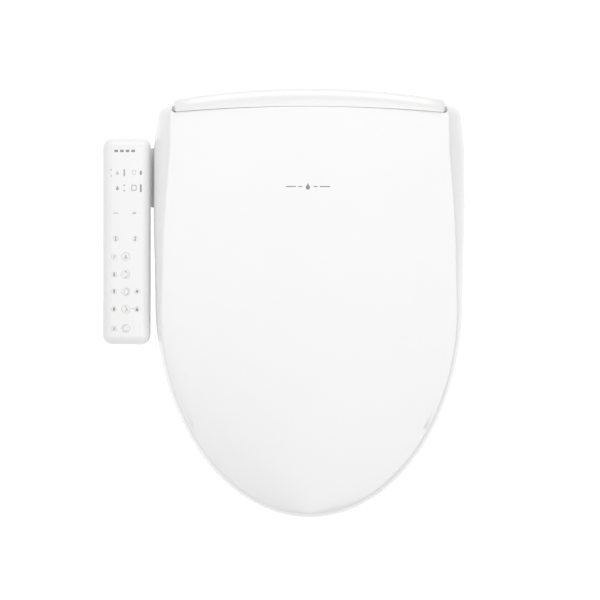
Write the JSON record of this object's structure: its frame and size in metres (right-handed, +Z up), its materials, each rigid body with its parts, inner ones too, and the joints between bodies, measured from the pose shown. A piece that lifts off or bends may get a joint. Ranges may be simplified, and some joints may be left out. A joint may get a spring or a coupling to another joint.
{
  "type": "electric bidet seat",
  "caption": "Electric bidet seat with hinged lid and seat ring, rear housing with wash nozzle and warm-air dryer, and side control panel",
  "frame": {"origin": "midway between the two fixing-bolt slots, on the underside of the mounting plate, which is the plane of the bowl's deck", "axes": "+X to the user's right seen from the front of the seat, +Y to the rear, towards the cistern, +Z up"},
  "size_m": [0.4486, 0.531, 0.14],
  "materials": {
    "white_gloss": "glossy moulded white",
    "panel_white": "satin moulded white",
    "key_white": "satin white key cap",
    "white_matte": "matte white",
    "grey_plastic": "matte light grey",
    "dark_plastic": "matte dark grey",
    "pale_rubber": "soft pale rubber",
    "steel": "brushed stainless steel",
    "brass": "plated brass thread",
    "heater_foil": "foil with heating wire",
    "circuit_board": "solder mask green",
    "silicone_tube": "translucent silicone"
  },
  "bodies": {
    "housing": {"base_tray": "white_gloss", "housing_cover": "white_gloss", "housing_screw_left": "steel", "housing_screw_right": "steel", "base_pad_left": "pale_rubber", "base_pad_right": "pale_rubber", "seat_damper": "dark_plastic", "lid_damper": "dark_plastic", "water_inlet_connector": "brass", "cord_gland": "dark_plastic", "water_heater_tank": "grey_plastic", "valve_block": "grey_plastic", "main_circuit_board": "circuit_board", "blower_housing": "dark_plastic", "blower_motor": "steel", "dryer_duct": "grey_plastic", "heater_feed_tube": "silicone_tube", "nozzle_feed_tube": "silicone_tube", "nozzle_guide": "grey_plastic", "nozzle_motor": "steel", "panel_upper_case": "panel_white", "panel_lower_case": "panel_white", "panel_circuit_board": "circuit_board", "panel_arm": "white_gloss"},
    "seat": {"seat_top_shell": "white_gloss", "seat_bottom_shell": "white_gloss", "seat_heater_pad": "heater_foil", "seat_bumper_front_left": "pale_rubber", "seat_bumper_front_right": "pale_rubber", "seat_bumper_rear_left": "pale_rubber", "seat_bumper_rear_right": "pale_rubber", "seat_hinge_bush_left": "steel", "seat_hinge_bush_right": "steel"},
    "lid": {"lid_shell": "white_gloss", "lid_bumper_left": "pale_rubber", "lid_bumper_right": "pale_rubber", "lid_hinge_pin_left": "steel", "lid_hinge_pin_right": "steel"},
    "nozzle": {"nozzle_tube": "steel", "nozzle_tip": "white_gloss"},
    "nozzle_pinion": {"nozzle_pinion": "grey_plastic"},
    "blower_impeller": {"blower_impeller": "white_matte"},
    "dryer_flap": {"dryer_flap": "white_matte"},
    "release_button": {"release_button": "grey_plastic"},
    "mounting_plate": {"mounting_plate": "grey_plastic"},
    "key_lid": {"key_lid": "key_white"},
    "key_seat": {"key_seat": "key_white"},
    "key_a_centre": {"key_a_centre": "key_white"},
    "key_a_left": {"key_a_left": "key_white"},
    "key_b_centre": {"key_b_centre": "key_white"},
    "key_b_left": {"key_b_left": "key_white"},
    "key_c_centre": {"key_c_centre": "key_white"},
    "key_c_left": {"key_c_left": "key_white"},
    "key_d_centre": {"key_d_centre": "key_white"},
    "key_d_left": {"key_d_left": "key_white"},
    "key_e_centre": {"key_e_centre": "key_white"},
    "key_e_left": {"key_e_left": "key_white"},
    "key_c_right": {"key_c_right": "key_white"},
    "key_d_right": {"key_d_right": "key_white"}
  },
  "joints": [
    {"name": "seat_hinge", "type": "hinge", "parent": "housing", "child": "seat", "pos_m": [0, 0.01, 0.121], "axis": [-1, 0, 0], "range_deg": [0, 95]},
    {"name": "lid_hinge", "type": "hinge", "parent": "seat", "child": "lid", "pos_m": [0, 0.01, 0.121], "axis": [1, 0, 0], "range_deg": [-100, 0]},
    {"name": "nozzle_slide", "type": "slide", "parent": "housing", "child": "nozzle", "axis": [0, -0.9063, -0.4226], "range_m": [0, 0.09]},
    {"name": "nozzle_pinion_spin", "type": "hinge", "parent": "housing", "child": "nozzle_pinion", "pos_m": [0, -0.08251, 0.06041], "axis": [-1, 0, 0], "range_deg": [0, 860]},
    {"name": "blower_spin", "type": "hinge", "parent": "housing", "child": "blower_impeller", "pos_m": [0.065, -0.028, 0.062], "axis": [1, 0, 0], "continuous": true},
    {"name": "dryer_flap_hinge", "type": "hinge", "parent": "housing", "child": "dryer_flap", "pos_m": [0.062, -0.1104, 0.0356], "axis": [-1, 0, 0], "range_deg": [0, 60], "stiffness_Nm_per_rad": 0.002, "springref_deg": -11.46},
    {"name": "release_press", "type": "slide", "parent": "housing", "child": "release_button", "axis": [-1, 0, 0], "range_m": [0, 0.003], "stiffness_N_per_m": 400, "springref_m": -0.001},
    {"name": "plate_slide", "type": "slide", "parent": "housing", "child": "mounting_plate", "axis": [0, 1, 0], "range_m": [0, 0.05]},
    {"name": "key_lid_press", "type": "slide", "parent": "housing", "child": "key_lid", "axis": [0, 0.0698, -0.9976], "range_m": [0, 0.0008], "stiffness_N_per_m": 600, "springref_m": -0.001},
    {"name": "key_seat_press", "type": "slide", "parent": "housing", "child": "key_seat", "axis": [0, 0.0698, -0.9976], "range_m": [0, 0.0008], "stiffness_N_per_m": 600, "springref_m": -0.001},
    {"name": "key_a_centre_press", "type": "slide", "parent": "housing", "child": "key_a_centre", "axis": [0, 0.0698, -0.9976], "range_m": [0, 0.0008], "stiffness_N_per_m": 600, "springref_m": -0.001},
    {"name": "key_a_left_press", "type": "slide", "parent": "housing", "child": "key_a_left", "axis": [0, 0.0698, -0.9976], "range_m": [0, 0.0008], "stiffness_N_per_m": 600, "springref_m": -0.001},
    {"name": "key_b_centre_press", "type": "slide", "parent": "housing", "child": "key_b_centre", "axis": [0, 0.0698, -0.9976], "range_m": [0, 0.0008], "stiffness_N_per_m": 600, "springref_m": -0.001},
    {"name": "key_b_left_press", "type": "slide", "parent": "housing", "child": "key_b_left", "axis": [0, 0.0698, -0.9976], "range_m": [0, 0.0008], "stiffness_N_per_m": 600, "springref_m": -0.001},
    {"name": "key_c_centre_press", "type": "slide", "parent": "housing", "child": "key_c_centre", "axis": [0, 0.0698, -0.9976], "range_m": [0, 0.0008], "stiffness_N_per_m": 600, "springref_m": -0.001},
    {"name": "key_c_left_press", "type": "slide", "parent": "housing", "child": "key_c_left", "axis": [0, 0.0698, -0.9976], "range_m": [0, 0.0008], "stiffness_N_per_m": 600, "springref_m": -0.001},
    {"name": "key_d_centre_press", "type": "slide", "parent": "housing", "child": "key_d_centre", "axis": [0, 0.0698, -0.9976], "range_m": [0, 0.0008], "stiffness_N_per_m": 600, "springref_m": -0.001},
    {"name": "key_d_left_press", "type": "slide", "parent": "housing", "child": "key_d_left", "axis": [0, 0.0698, -0.9976], "range_m": [0, 0.0008], "stiffness_N_per_m": 600, "springref_m": -0.001},
    {"name": "key_e_centre_press", "type": "slide", "parent": "housing", "child": "key_e_centre", "axis": [0, 0.0698, -0.9976], "range_m": [0, 0.0008], "stiffness_N_per_m": 600, "springref_m": -0.001},
    {"name": "key_e_left_press", "type": "slide", "parent": "housing", "child": "key_e_left", "axis": [0, 0.0698, -0.9976], "range_m": [0, 0.0008], "stiffness_N_per_m": 600, "springref_m": -0.001},
    {"name": "key_c_right_press", "type": "slide", "parent": "housing", "child": "key_c_right", "axis": [0, 0.0698, -0.9976], "range_m": [0, 0.0008], "stiffness_N_per_m": 600, "springref_m": -0.001},
    {"name": "key_d_right_press", "type": "slide", "parent": "housing", "child": "key_d_right", "axis": [0, 0.0698, -0.9976], "range_m": [0, 0.0008], "stiffness_N_per_m": 600, "springref_m": -0.001}
  ],
  "couplings": [
    {"joint": "nozzle_pinion_spin", "follows": "nozzle_slide", "rad_per_m": 166.67}
  ]
}
